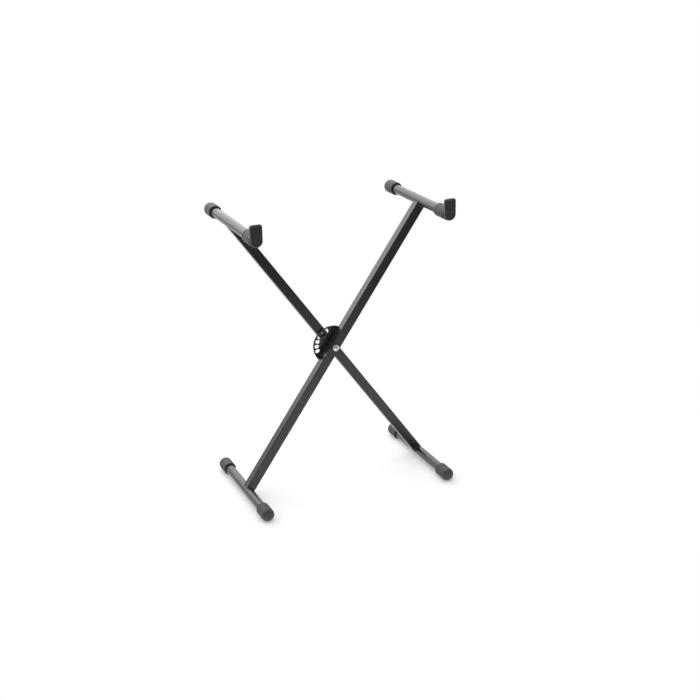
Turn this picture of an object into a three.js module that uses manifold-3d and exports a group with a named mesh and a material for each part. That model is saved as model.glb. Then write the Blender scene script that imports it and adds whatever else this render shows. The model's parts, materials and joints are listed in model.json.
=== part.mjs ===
// Folding keyboard stand. Two crossed square-tube arms turn on one pivot bolt. A round bar is
// welded across each arm end, rubber caps cover the bar ends, and a sprung pin in the rear arm
// locks into a slotted half-disc plate on the front arm.
// Millimetres and degrees, +Z up. X runs across the stand and Y from its front to its back.
// The origin is on the floor, under the middle of the stand.

import * as THREE from 'three';
import { mergeVertices, toCreasedNormals } from 'three/addons/utils/BufferGeometryUtils.js';
import Module from 'manifold-3d';

// Fits
const touchGap = 0.3; // between pieces that rest on or in each other
const cutMargin = 1; // how far a cutting tool runs past what it cuts

// Arms
const tubeSide = 25; // outside of the square tube
const tubeWall = 1.5;
const tubeCorner = 2; // outside corner radius
const lowerLength = 446; // pivot to the axis of the foot bar
const upperLength = 442; // pivot to the axis of the top bar
const saddleDepth = 3; // how far the notched arm end reaches round its bar

// Bars
const barDiameter = 25;
const barWall = 1.5;
const barLength = 345;

// Rubber caps
const capWall = 4.6; // rubber round the bar
const capEndWall = 4.7; // rubber over the bar's end
const capLength = 50;
const capEdge = 8; // radius of the rounded end
const capDome = 0.8; // rise of the end face
const mouthChamfer = 1.5;
const footFlatWidth = 8; // flat strip under a foot cap

// Stops: caps with an upright lip
const stopWall = 4.4; // rubber round the bar
const stopLength = 60; // lip and sleeve together
const lipWidth = 31.8;
const lipHeight = 40; // top of the lip above the bar's axis
const lipThickness = 6.5;
const lipCorner = 6.5;
const lipEdge = 1.2; // chamfer round both faces of the lip

// Locking plate
const plateThickness = 3;
const plateRadius = 52.5;
const plateInset = 1; // the straight edge stays this far inside the arm's edge
const slotRim = 3.75; // steel between a slot and the plate's round edge
const slotSlack = 2.9; // how much longer a slot is than it is wide
const slotCount = 6;
const slotStep = 17.5; // angle from slot to slot
const firstOpening = 53.3; // angle between the arms at the first slot
const restSlot = 1; // slot that the pin stands at, counted from 0

// Pivot
const boltDiameter = 8;
const headDiameter = 17.5;
const headHeight = 4.4;
const headRim = 1.2; // height of the head under its dome
const socketAcross = 5;
const socketDepth = 2.4;
const headWasherDiameter = 23;
const headWasherThickness = 1.5;
const sleeveWall = 1.8;
const spacerDiameter = 22;
const spacerThickness = 1.2;
const backWasherDiameter = 16;
const backWasherThickness = 1.6;
const nutAcross = 13;
const nutHeight = 6.5; // hexagon
const collarHeight = 1.8; // round collar that holds the insert
const collarDiameter = 11.6;
const insertThickness = 1.2;
const threadReach = 2; // bolt past the nut

// Locking pin
const pinDiameter = 9;
const pinNoseChamfer = 1;
const pinStandOff = 0.4; // from the plate's back to the drawn pin
const pinCollarDiameter = 13;
const pinCollarThickness = 2;
const stemDiameter = 6;
const stemGrip = 9; // length of stem inside the knob
const housingWall = 3.3;
const housingReach = 1.8; // past the tube's wall, inside it
const flangeDiameter = 16;
const flangeThickness = 3;
const springWire = 1;
const springTurns = 6;
const knobDiameter = 17;
const knobNeck = 12;
const knobLength = 14;
const knobEdge = 3;

// Facets
const roundSteps = 32;
const smallSteps = 24;
const cornerSteps = 4;
const slotEndSteps = 7;
const springSections = 13; // per turn
const wireSides = 6;

// Heights and places that follow from the sizes above
const toRadians = Math.PI / 180;
const barRadius = barDiameter / 2;
const capRadius = barRadius + touchGap + capWall;
const stopRadius = barRadius + touchGap + stopWall;
const endY = barLength / 2 + touchGap + capEndWall;
const openingAngle = (firstOpening + restSlot * slotStep) * toRadians;
const halfAngle = openingAngle / 2;
const footFlatDrop = Math.sqrt(capRadius ** 2 - (footFlatWidth / 2) ** 2);
const pivotHeight = footFlatDrop + lowerLength * Math.cos(halfAngle);
const armGap = touchGap + plateThickness + touchGap + spacerThickness + touchGap;
const frontArmBack = -armGap / 2;
const frontArmFront = frontArmBack - tubeSide;
const rearArmFront = armGap / 2;
const rearArmBack = rearArmFront + tubeSide;
const plateFront = frontArmBack + touchGap;
const plateBack = plateFront + plateThickness;
const boltRadius = boltDiameter / 2;
const boltHole = boltRadius + touchGap;
const pinRadius = pinDiameter / 2;
const slotWidth = pinDiameter + 2 * touchGap;
const slotCircle = plateRadius - slotRim - slotSlack / 2 - slotWidth / 2; // from the pivot

// Finishes
const blackPaint = { color: 0x1d1d1e, roughness: 0.38, metalness: 0.1 };
const blackRubber = { color: 0x232324, roughness: 0.75, metalness: 0 };
const blackNylon = { color: 0x161616, roughness: 0.5, metalness: 0 };
const blackPlastic = { color: 0x191919, roughness: 0.45, metalness: 0 };
const zincPlate = { color: 0xc4c6c8, roughness: 0.3, metalness: 1 };
const whiteNylon = { color: 0xd8d8d0, roughness: 0.5, metalness: 0 };

const manifold = await Module();
manifold.setup();

// Signed volume of an indexed geometry: positive when its faces point out.
function signedVolume(geometry) {
  const points = geometry.attributes.position;
  const index = geometry.index.array;
  const a = new THREE.Vector3();
  const b = new THREE.Vector3();
  const c = new THREE.Vector3();
  let sum = 0;
  for (let i = 0; i < index.length; i += 3) {
    a.fromBufferAttribute(points, index[i]);
    b.fromBufferAttribute(points, index[i + 1]);
    c.fromBufferAttribute(points, index[i + 2]);
    sum += a.dot(b.cross(c)) / 6;
  }
  return sum;
}

// One closed body: shared corners merged, empty triangles dropped, faces turned outwards.
function closed(geometry) {
  geometry.deleteAttribute('normal');
  geometry.deleteAttribute('uv');
  const merged = mergeVertices(geometry, 1e-4);
  const old = merged.index.array;
  const index = [];
  for (let i = 0; i < old.length; i += 3) {
    const [a, b, c] = [old[i], old[i + 1], old[i + 2]];
    if (a !== b && b !== c && c !== a) index.push(a, b, c);
  }
  merged.setIndex(index);
  if (signedVolume(merged) < 0) merged.setIndex(index.reverse());
  return merged;
}

function toSolid(geometry) {
  const body = closed(geometry);
  return new manifold.Manifold(new manifold.Mesh({
    numProp: 3,
    vertProperties: new Float32Array(body.attributes.position.array),
    triVerts: new Uint32Array(body.index.array),
  }));
}

function toGeometry(solid) {
  const mesh = solid.getMesh();
  const geometry = new THREE.BufferGeometry();
  geometry.setAttribute('position', new THREE.BufferAttribute(mesh.vertProperties, 3));
  geometry.setIndex(new THREE.BufferAttribute(mesh.triVerts, 1));
  return geometry;
}

function cut(geometry, ...tools) {
  let solid = toSolid(geometry);
  for (const tool of tools) solid = solid.subtract(toSolid(tool));
  return toGeometry(solid);
}

function join(first, second) {
  return toGeometry(toSolid(first).add(toSolid(second)));
}

// A turned piece: [radius, y] points revolved round the Y axis.
function turned(profile, steps = roundSteps) {
  return new THREE.LatheGeometry(profile.map(([radius, y]) => new THREE.Vector2(radius, y)), steps);
}

// A ring or tube round the Y axis, from y0 to y1.
function ring(outer, inner, y0, y1, steps = roundSteps) {
  return turned([[inner, y0], [outer, y0], [outer, y1], [inner, y1], [inner, y0]], steps);
}

// A round bar along Y, from y0 to y1, to cut a hole with.
function drill(radius, y0, y1, x = 0, z = 0, steps = smallSteps) {
  return turned([[0, y0], [radius, y0], [radius, y1], [0, y1]], steps).translate(x, 0, z);
}

// A hexagonal bar along Y, from y0 to y1.
function hexBar(across, y0, y1) {
  const corner = across / Math.sqrt(3);
  return new THREE.CylinderGeometry(corner, corner, y1 - y0, 6).translate(0, (y0 + y1) / 2, 0);
}

// A flat piece cut from an outline in X and Z, from y0 to y1, with a chamfer round both faces.
function slab(outline, y0, y1, chamfer = 0) {
  const options = {
    depth: y1 - y0 - 2 * chamfer,
    bevelEnabled: chamfer > 0,
    bevelThickness: chamfer,
    bevelSize: chamfer,
    bevelOffset: -chamfer,
    bevelSegments: 1,
  };
  const plate = new THREE.ExtrudeGeometry(outline, options);
  return plate.rotateX(Math.PI / 2).translate(0, y1 - chamfer, 0);
}

// Points of an arc round (cx, cy), from one angle to another.
function arcPoints(cx, cy, radius, from, to, steps) {
  return Array.from({ length: steps + 1 }, (_, i) => {
    const angle = from + (to - from) * i / steps;
    return [cx + radius * Math.cos(angle), cy + radius * Math.sin(angle)];
  });
}

// A square with rounded corners, centred on the origin.
function roundedSquare(side, corner) {
  const reach = side / 2 - corner;
  const points = [];
  for (let quarter = 0; quarter < 4; quarter += 1) {
    const start = quarter * Math.PI / 2;
    const cx = reach * Math.sign(Math.cos(start + Math.PI / 4));
    const cy = reach * Math.sign(Math.sin(start + Math.PI / 4));
    points.push(...arcPoints(cx, cy, corner, start, start + Math.PI / 2, cornerSteps));
  }
  return points.map(([x, y]) => new THREE.Vector2(x, y));
}

// A hollow square arm along Z with its middle plane at y, notched at both ends to sit on the
// round bars, with a pivot hole through both walls.
function armTube(y) {
  const outline = new THREE.Shape(roundedSquare(tubeSide, tubeCorner));
  const innerCorner = Math.max(tubeCorner - tubeWall, tubeCorner / 4);
  outline.holes.push(new THREE.Path(roundedSquare(tubeSide - 2 * tubeWall, innerCorner)));
  const low = -lowerLength + barRadius - saddleDepth;
  const high = upperLength - barRadius + saddleDepth;
  const tube = new THREE.ExtrudeGeometry(outline, { depth: high - low, bevelEnabled: false });
  tube.translate(0, y, low);
  const reach = tubeSide / 2 + cutMargin;
  const notch = barRadius + touchGap;
  return cut(
    tube,
    drill(notch, y - reach, y + reach, 0, -lowerLength, roundSteps),
    drill(notch, y - reach, y + reach, 0, upperLength, roundSteps),
    drill(boltHole, y - reach, y + reach),
  );
}

// The rear arm also has a hole for the pin in front and one for its housing behind.
function rearArmTube() {
  const middle = rearArmFront + tubeSide / 2;
  const pinHole = pinRadius + touchGap;
  return cut(
    armTube(middle),
    drill(pinHole, rearArmFront - cutMargin, middle, 0, slotCircle),
    drill(housingRadius + touchGap, middle, rearArmBack + cutMargin, 0, slotCircle),
  );
}

function barTube() {
  return ring(barRadius, barRadius - barWall, -barLength / 2, barLength / 2);
}

// A rubber cap on the back end of a bar along Y. Its mouth faces -Y.
function endCap() {
  const bore = barRadius + touchGap;
  const mouth = endY - capLength;
  const edgeCentre = endY - capDome - capEdge;
  return turned([
    [0, endY - capEndWall],
    [bore, endY - capEndWall],
    [bore, mouth],
    [capRadius - mouthChamfer, mouth],
    [capRadius, mouth + mouthChamfer],
    ...arcPoints(capRadius - capEdge, edgeCentre, capEdge, 0, Math.PI / 2, cornerSteps),
    [0, endY],
  ]);
}

// The same cap with a flat strip underneath, for the floor.
function footCap() {
  const block = new THREE.BoxGeometry(4 * capRadius, 4 * endY, capRadius);
  block.translate(0, 0, -footFlatDrop - capRadius / 2);
  return cut(endCap(), block);
}

// The outline of a stop's lip: a half circle round the bar below, rounded corners on top.
function lipOutline() {
  const half = lipWidth / 2;
  const top = lipHeight - lipCorner;
  return new THREE.Shape([
    ...arcPoints(0, 0, half, -Math.PI, 0, roundSteps / 2),
    ...arcPoints(half - lipCorner, top, lipCorner, 0, Math.PI / 2, cornerSteps),
    ...arcPoints(lipCorner - half, top, lipCorner, Math.PI / 2, Math.PI, cornerSteps),
  ].map(([x, z]) => new THREE.Vector2(x, z)));
}

// A cap with a lip on the front end of a bar.
function stopCap() {
  const bore = barRadius + touchGap;
  const mouth = stopLength - endY;
  const sleeveFront = lipThickness / 2 - endY;
  const sleeve = turned([
    [0, capEndWall - endY],
    [bore, capEndWall - endY],
    [bore, mouth],
    [stopRadius - mouthChamfer, mouth],
    [stopRadius, mouth - mouthChamfer],
    [stopRadius, sleeveFront],
    [0, sleeveFront],
  ]);
  const lip = slab(lipOutline(), -endY, lipThickness - endY, lipEdge);
  const bar = drill(bore, capEndWall - endY, 0, 0, 0, roundSteps);
  return cut(join(sleeve, lip), bar);
}

// The locking plate: a half disc beside the arm, carried on behind it, with a bolt hole and
// slots on a circle round the pivot. A slot's long way points at the pivot.
function lockPlate() {
  const edge = tubeSide / 2 - plateInset;
  const dip = Math.asin(edge / plateRadius);
  const outline = new THREE.Shape(
    arcPoints(0, 0, plateRadius, Math.PI / 2 - dip, 3 * Math.PI / 2 + dip, roundSteps)
      .map(([x, z]) => new THREE.Vector2(x, z)),
  );
  outline.holes.push(roundHole(boltHole));
  for (let i = 0; i < slotCount; i += 1) {
    outline.holes.push(slotHole((firstOpening + i * slotStep) * toRadians));
  }
  return slab(outline, plateFront, plateBack);
}

function roundHole(radius) {
  const points = arcPoints(0, 0, radius, 0, 2 * Math.PI, smallSteps).slice(0, -1);
  return new THREE.Path(points.map(([x, z]) => new THREE.Vector2(x, z)));
}

// A slot at an opening angle, counted from the arm's upper end towards the plate's side.
function slotHole(opening) {
  const half = slotWidth / 2;
  const turn = Math.PI / 2 + opening;
  const points = [
    ...arcPoints(slotCircle + slotSlack / 2, 0, half, -Math.PI / 2, Math.PI / 2, slotEndSteps),
    ...arcPoints(slotCircle - slotSlack / 2, 0, half, Math.PI / 2, 3 * Math.PI / 2, slotEndSteps),
  ];
  return new THREE.Path(points.map(([x, z]) => (
    new THREE.Vector2(x, z).rotateAround(new THREE.Vector2(), turn)
  )));
}

// Pivot stack, from the front: head, washer, front arm, plate, spacer, rear arm, washer, nut.
const headWasherBack = frontArmFront - touchGap;
const headBack = headWasherBack - headWasherThickness - touchGap;
const headFront = headBack - headHeight;
const backWasherFront = rearArmBack + touchGap;
const nutFront = backWasherFront + backWasherThickness + touchGap;
const nutBack = nutFront + nutHeight + collarHeight;
const insertPocket = insertThickness + 2 * touchGap;

// A socket bolt whose head is a low part of a ball on a short rim.
function pivotBolt() {
  const headRadius = headDiameter / 2;
  const crown = headHeight - headRim;
  const ball = (headRadius ** 2 + crown ** 2) / (2 * crown);
  const apex = -Math.PI / 2;
  const rim = apex + Math.asin(headRadius / ball);
  const dome = arcPoints(0, headFront + ball, ball, rim, apex, cornerSteps * 2).slice(0, -1);
  const body = turned([
    [0, nutBack + threadReach],
    [boltRadius - touchGap, nutBack + threadReach],
    [boltRadius, nutBack + threadReach - touchGap],
    [boltRadius, headBack],
    [headRadius, headBack],
    ...dome,
    [0, headFront],
  ], smallSteps);
  return cut(body, hexBar(socketAcross, headFront - cutMargin, headFront + socketDepth));
}

function crushSleeve(armFront) {
  const front = armFront + tubeWall + touchGap;
  const back = armFront + tubeSide - tubeWall - touchGap;
  return ring(boltHole + sleeveWall, boltHole, front, back, smallSteps);
}

// A lock nut: a hexagon with a round collar behind it, and a pocket inside the collar.
function pivotNut() {
  const collar = collarDiameter / 2;
  const hexagon = hexBar(nutAcross, nutFront, nutFront + nutHeight);
  const round = drill(collar, nutFront + nutHeight / 2, nutBack);
  const pocketFront = nutBack - insertPocket;
  return cut(
    join(hexagon, round),
    drill(boltHole, nutFront - cutMargin, nutBack + cutMargin),
    drill(insertRadius + touchGap, pocketFront, nutBack + cutMargin),
  );
}

const insertRadius = collarDiameter / 2 - 1 - touchGap;

function nutInsert() {
  const back = nutBack - touchGap;
  return ring(insertRadius, boltRadius + touchGap / 2, back - insertThickness, back, smallSteps);
}

// Locking pin, drawn back just clear of the plate, and what guides it.
const pinNose = plateBack + pinStandOff;
const pinThrow = plateThickness + pinStandOff; // from drawn to through the plate
const pinCollarFront = rearArmFront + tubeWall + touchGap + pinThrow;
const pinCollarBack = pinCollarFront + pinCollarThickness;
const housingRadius = stemDiameter / 2 + touchGap + housingWall;
const housingFront = rearArmBack - tubeWall - housingReach;
const flangeFront = rearArmBack + touchGap;
const flangeBack = flangeFront + flangeThickness;
const knobFront = flangeBack + touchGap + pinThrow;
const stemEnd = knobFront + stemGrip;

function lockPin() {
  const stem = stemDiameter / 2;
  return turned([
    [0, pinNose],
    [pinRadius - pinNoseChamfer, pinNose],
    [pinRadius, pinNose + pinNoseChamfer],
    [pinRadius, pinCollarFront],
    [pinCollarDiameter / 2, pinCollarFront],
    [pinCollarDiameter / 2, pinCollarBack],
    [stem, pinCollarBack],
    [stem, stemEnd],
    [0, stemEnd],
  ], smallSteps);
}

function pinHousing() {
  const bore = stemDiameter / 2 + touchGap;
  return turned([
    [bore, housingFront],
    [housingRadius, housingFront],
    [housingRadius, flangeFront],
    [flangeDiameter / 2, flangeFront],
    [flangeDiameter / 2, flangeBack - touchGap],
    [flangeDiameter / 2 - touchGap, flangeBack],
    [bore, flangeBack],
    [bore, housingFront],
  ], smallSteps);
}

// The spring's centre line, between the pin's collar and its housing.
class Helix extends THREE.Curve {
  constructor(radius, y0, y1, turns) {
    super();
    Object.assign(this, { radius, y0, y1, turns });
  }

  getPoint(t, target = new THREE.Vector3()) {
    const angle = 2 * Math.PI * this.turns * t;
    const y = this.y0 + (this.y1 - this.y0) * t;
    return target.set(this.radius * Math.cos(angle), y, this.radius * Math.sin(angle));
  }
}

function pinSpring() {
  const wire = springWire / 2;
  const radius = stemDiameter / 2 + touchGap + springWire;
  const first = pinCollarBack + touchGap + springWire;
  const last = housingFront - touchGap - springWire;
  const corners = arcPoints(0, 0, wire, 0, 2 * Math.PI, wireSides).slice(0, -1);
  const section = new THREE.Shape(corners.map(([x, y]) => new THREE.Vector2(x, y)));
  return new THREE.ExtrudeGeometry(section, {
    steps: springTurns * springSections,
    extrudePath: new Helix(radius, first, last, springTurns),
    bevelEnabled: false,
  });
}

// A knob with a neck in front, a round grip behind and a blind hole for the stem.
function pullKnob() {
  const bore = stemDiameter / 2 + touchGap;
  const grip = knobDiameter / 2;
  const back = knobFront + knobLength;
  const shoulder = knobFront + knobLength / 3;
  return turned([
    [bore, knobFront],
    [knobNeck / 2, knobFront],
    [knobNeck / 2, shoulder - knobEdge / 2],
    [grip - knobEdge / 2, shoulder],
    [grip, shoulder + knobEdge / 2],
    ...arcPoints(grip - knobEdge, back - knobEdge, knobEdge, 0, Math.PI / 2, cornerSteps),
    [0, back],
    [0, stemEnd + touchGap],
    [bore, stemEnd + touchGap],
    [bore, knobFront],
  ], smallSteps);
}

function addPiece(group, name, geometry, finish) {
  const shape = toCreasedNormals(closed(geometry), Math.PI / 6);
  const mesh = new THREE.Mesh(shape, new THREE.MeshStandardMaterial(finish));
  mesh.name = name;
  group.add(mesh);
}

// A group at a height on an arm. An upright one is turned back, so that its Z is up.
function station(frame, height, upright = false) {
  const group = new THREE.Group();
  group.position.z = height;
  if (upright) group.rotation.y = -frame.rotation.y;
  frame.add(group);
  return group;
}

// An arm's frame, with its origin on the pivot and Z along the arm.
function armFrame(angle) {
  const frame = new THREE.Group();
  frame.position.z = pivotHeight;
  frame.rotation.y = angle;
  return frame;
}

// The bar across the arm's lower end and its two foot caps.
function addFoot(frame, side) {
  addPiece(station(frame, -lowerLength), `${side}_foot_bar`, barTube(), blackPaint);
  const foot = station(frame, -lowerLength, true);
  addPiece(foot, `${side}_foot_cap_front`, footCap().scale(1, -1, 1), blackRubber);
  addPiece(foot, `${side}_foot_cap_back`, footCap(), blackRubber);
}

// The bar across the arm's upper end, its back cap and its stop.
function addTop(frame, side) {
  const top = station(frame, upperLength);
  addPiece(top, `${side}_top_bar`, barTube(), blackPaint);
  addPiece(top, `${side}_top_cap_back`, endCap(), blackRubber);
  addPiece(station(frame, upperLength, true), `${side}_stop`, stopCap(), blackRubber);
}

function frontFrame() {
  const frame = armFrame(halfAngle);
  addPiece(frame, 'front_arm', armTube(frontArmFront + tubeSide / 2), blackPaint);
  addFoot(frame, 'left');
  addTop(frame, 'right');
  addPiece(frame, 'lock_plate', lockPlate(), blackPaint);
  addPiece(frame, 'front_arm_sleeve', crushSleeve(frontArmFront), zincPlate);
  addPiece(frame, 'pivot_bolt', pivotBolt(), zincPlate);
  const headWasherFront = headWasherBack - headWasherThickness;
  const headWasher = ring(headWasherDiameter / 2, boltHole, headWasherFront, headWasherBack);
  addPiece(frame, 'head_washer', headWasher, blackNylon);
  const spacerFront = plateBack + touchGap;
  const spacer = ring(spacerDiameter / 2, boltHole, spacerFront, spacerFront + spacerThickness);
  addPiece(frame, 'arm_spacer', spacer, blackNylon);
  const backWasherBack = backWasherFront + backWasherThickness;
  const backWasher = ring(backWasherDiameter / 2, boltHole, backWasherFront, backWasherBack);
  addPiece(frame, 'back_washer', backWasher, zincPlate);
  addPiece(frame, 'pivot_nut', pivotNut(), zincPlate);
  addPiece(frame, 'nut_insert', nutInsert(), whiteNylon);
  return frame;
}

function rearFrame() {
  const frame = armFrame(-halfAngle);
  addPiece(frame, 'rear_arm', rearArmTube(), blackPaint);
  addFoot(frame, 'right');
  addTop(frame, 'left');
  addPiece(frame, 'rear_arm_sleeve', crushSleeve(rearArmFront), zincPlate);
  const lock = station(frame, slotCircle);
  addPiece(lock, 'lock_pin', lockPin(), zincPlate);
  addPiece(lock, 'pin_housing', pinHousing(), zincPlate);
  addPiece(lock, 'pin_spring', pinSpring(), zincPlate);
  addPiece(lock, 'pull_knob', pullKnob(), blackPlastic);
  return frame;
}

const stand = new THREE.Group();
stand.add(frontFrame(), rearFrame());

export default stand;
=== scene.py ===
"""The looks of a folding keyboard stand: painted tube arms and bars, moulded rubber caps and stops,
a punched locking plate, its bolt and its sprung pin, on a white studio floor.

Lengths are in metres and angles in radians. X runs across the stand, Y from its front to its back
and Z up. Every new surface is a numpy array of points, and each function says its formula."""

import json
import math

import bmesh
import bpy
import numpy as np
from mathutils import Matrix, Vector
from mathutils.geometry import tessellate_polygon


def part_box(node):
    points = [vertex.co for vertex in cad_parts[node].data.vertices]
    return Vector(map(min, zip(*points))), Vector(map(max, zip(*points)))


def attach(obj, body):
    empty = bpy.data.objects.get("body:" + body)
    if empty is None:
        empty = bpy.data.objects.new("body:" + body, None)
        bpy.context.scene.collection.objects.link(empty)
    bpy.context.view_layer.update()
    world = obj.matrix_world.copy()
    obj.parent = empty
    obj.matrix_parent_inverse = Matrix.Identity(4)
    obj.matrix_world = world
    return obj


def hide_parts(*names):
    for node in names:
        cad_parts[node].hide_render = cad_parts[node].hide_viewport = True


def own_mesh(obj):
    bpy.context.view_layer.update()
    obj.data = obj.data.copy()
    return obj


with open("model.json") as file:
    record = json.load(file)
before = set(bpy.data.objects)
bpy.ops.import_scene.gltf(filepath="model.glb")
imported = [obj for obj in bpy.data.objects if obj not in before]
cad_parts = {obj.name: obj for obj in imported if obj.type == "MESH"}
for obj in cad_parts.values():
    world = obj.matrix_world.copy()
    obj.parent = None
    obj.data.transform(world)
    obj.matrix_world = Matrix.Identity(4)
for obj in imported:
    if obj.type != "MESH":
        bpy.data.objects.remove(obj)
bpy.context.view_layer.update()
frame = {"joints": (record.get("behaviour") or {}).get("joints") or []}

bl_info = {
    "name": "Folding keyboard stand",
    "version": (1, 0, 0),
    "blender": (4, 5, 0),
    "location": "3D View > Sidebar > Keyboard stand",
    "description": "Makes the painted tubes, rubber caps, locking plate and hardware of a folding stand",
    "category": "Object",
}

MM = 0.001
FULL_TURN = 2 * math.pi
MERGE = 2e-6  # points closer than this are one point
SHARP_EDGE = math.radians(34)  # flatter edges than this are shaded smooth
TONE = "tone"  # rubber colour: 0 painted groove shade, 1 plain, 2 pale from wear and a painted highlight
CORNER_POINTS = 5  # that soften gives to each corner, unless it is told otherwise

GAP = 0.3 * MM  # left between pieces that touch on the real stand
BOLT_HOLE = 4.3 * MM  # this and the next four are radii
THREAD_HOLE = 4.15 * MM
STEM_HOLE = 3.3 * MM
PIN_HOLE = 4.8 * MM
HOUSING_HOLE = 6.9 * MM

FRONT, BACK = -1, 1  # the two ways along Y


# Places read from the frame


def corners(node):
    """The lowest and the highest corner of a node, as arrays."""
    low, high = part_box(node)
    return np.array(low), np.array(high)


def centre(node):
    low, high = corners(node)
    return (low + high) / 2


def axis_point(node):
    """Where a node's axis, which runs along Y, has Y = 0."""
    return centre(node) * [1, 0, 1]


def node_radius(node):
    low, high = corners(node)
    return max(high[0] - low[0], high[2] - low[2]) / 2


class ArmFrame:
    """An arm's own axes: origin on the pivot, X across the arm, Y to the back and Z up along it.
    lower and upper are its lengths to its bars, half is half its tube, and middle is its Y."""

    def __init__(self, arm, foot_bar, top_bar):
        foot = centre(foot_bar) - PIVOT
        top = centre(top_bar) - PIVOT
        self.lower = math.hypot(foot[0], foot[2])
        self.upper = math.hypot(top[0], top[2])
        along = top / self.upper
        self.axes = np.array([[along[2], 0, -along[0]], [0, 1, 0], along])
        low, high = corners(arm)
        self.half = (high[1] - low[1]) / 2
        self.middle = (high[1] + low[1]) / 2

    def place(self, points):
        """Points in the arm's axes, turned and moved into the stand's."""
        return points @ self.axes + PIVOT


PIVOT = np.array(next(j["pos_m"] for j in frame["joints"] if j["name"] == "arm_fold"))
FRONT_ARM = ArmFrame("front_arm", "left_foot_bar", "right_top_bar")
REAR_ARM = ArmFrame("rear_arm", "right_foot_bar", "left_top_bar")
BAR_LOW, BAR_HIGH = corners("left_foot_bar")
BAR_RADIUS = (BAR_HIGH[0] - BAR_LOW[0]) / 2
PIN_ALONG = math.hypot(*(centre("lock_pin") - PIVOT)[[0, 2]])  # from the pivot, along the rear arm


# Lines and grids


def unit(vectors):
    """Vectors of length 1 that point the same way."""
    return vectors / np.linalg.norm(vectors, axis=1, keepdims=True)


def soften(points, radii, steps=CORNER_POINTS - 1):
    """The line through points with each corner p rounded to its radius. An arc from a to b is
    ((1-t)^2 a + 2 w t (1-t) p + t^2 b) / ((1-t)^2 + 2 w t (1-t) + t^2), w the cosine of half the turn."""
    points = np.array(points, float)
    back = unit(np.roll(points, 1, axis=0) - points)
    ahead = unit(np.roll(points, -1, axis=0) - points)
    half_turn = np.arccos(np.clip(-(back * ahead).sum(axis=1), -1, 1)) / 2
    reach = (np.broadcast_to(radii, half_turn.shape) * np.tan(half_turn))[:, None, None]
    weight = np.cos(half_turn)[:, None, None]
    t = np.linspace(0, 1, steps + 1)[None, :, None]
    corner = points[:, None, :]
    start = corner + back[:, None, :] * reach
    end = corner + ahead[:, None, :] * reach
    pull = 2 * weight * t * (1 - t)
    arc = ((1 - t) ** 2 * start + pull * corner + t**2 * end) / ((1 - t) ** 2 + pull + t**2)
    return arc.reshape(-1, 2)


def way_round(loop):
    """The way in which a closed loop runs at each of its points."""
    return unit(np.roll(loop, -1, axis=0) - np.roll(loop, 1, axis=0))


def travelled(line):
    """How far each point of a line is from its start, measured along the line."""
    return np.concatenate([[0], np.cumsum(np.linalg.norm(np.diff(line, axis=0), axis=1))])


def at_distances(line, wanted):
    """The points of a line at these distances along it, each on the straight between two of its own."""
    return np.stack([np.interp(wanted, travelled(line), line[:, i]) for i in (0, 1)], axis=1)


def even_line(loop, count):
    """The closed loop again with evenly spaced points, by its length."""
    closed_loop = np.vstack([loop, loop[:1]])
    return at_distances(closed_loop, np.linspace(0, travelled(closed_loop)[-1], count, endpoint=False))


def smooth_step(value, low, high):
    """0 below low, 1 above high, and 3t^2 - 2t^3 between them."""
    t = np.clip((value - low) / (high - low), 0, 1)
    return t * t * (3 - 2 * t)


def groove(distance, half_width):
    """The depth share (1 - d^2)^2 of a groove, d the distance from its middle over its half width."""
    share = np.clip(np.abs(distance) / half_width, 0, 1)
    return (1 - share**2) ** 2


def even_turn(columns):
    """Angles of a full turn, evenly spaced."""
    return np.arange(columns) / columns * FULL_TURN


def quarter_turn(count):
    """Angles from 0 to a quarter turn, evenly spaced."""
    return np.linspace(0, math.pi / 2, count)


def grooved_steps(count, half_width):
    """Places from 0 to count, one pitch each, with most of them in the groove at every whole place."""
    in_groove = half_width * np.array([-1, -0.6, -0.25, 0.25, 0.6, 1])
    on_rib = np.array([(1 - half_width) * 0.35 + half_width * 0.65, 1 - half_width * 1.6])
    offsets = np.sort(np.concatenate([in_groove, on_rib]))
    return (np.arange(count)[:, None] + offsets[None, :]).ravel()


def rings(radius, height, turn):
    """Rings about Y: (radius cos turn, height, radius sin turn), one row for each height."""
    radius, height, turn = np.broadcast_arrays(radius, height, turn)
    return np.stack([radius * np.cos(turn), height, radius * np.sin(turn)], axis=-1)


def circle(radius, y, z):
    """A round hole's edge in a wall that faces Y."""
    return rings(radius, y, even_turn(48)) + [0, 0, z]


def grid(points, rows_close=False, columns_close=True):
    """Points on rows and columns, and the quads between neighbours. A closed way joins its ends."""
    rows, columns = points.shape[:2]
    index = np.arange(rows * columns).reshape(rows, columns)
    if rows_close:
        index = np.vstack([index, index[:1]])
    if columns_close:
        index = np.hstack([index, index[:, :1]])
    quads = np.stack([index[:-1, :-1], index[1:, :-1], index[1:, 1:], index[:-1, 1:]], axis=-1)
    return points.reshape(-1, 3), quads.reshape(-1, 4)


def turned(node, profile, columns, rows_close=True):
    """A profile of (radius, height) points carried once round a node's own axis, as one patch."""
    around = rings(profile[:, :1], profile[:, 1:], even_turn(columns)[None, :])
    return [grid(around + axis_point(node), rows_close)]


def flat_face(loops):
    """A flat face inside its first loop and outside the others, filled with triangles."""
    lines = [[Vector(point) for point in loop] for loop in loops]
    return np.concatenate(loops), np.array(tessellate_polygon(lines))


def carried(path, side, rise, radius, columns):
    """A round section carried along a path: path + radius (cos c side + sin c rise)."""
    turn = even_turn(columns)[None, :, None]
    radius = np.broadcast_to(radius, len(path))[:, None, None]
    return path[:, None, :] + radius * (np.cos(turn) * side[:, None, :] + np.sin(turn) * rise[:, None, :])


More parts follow.
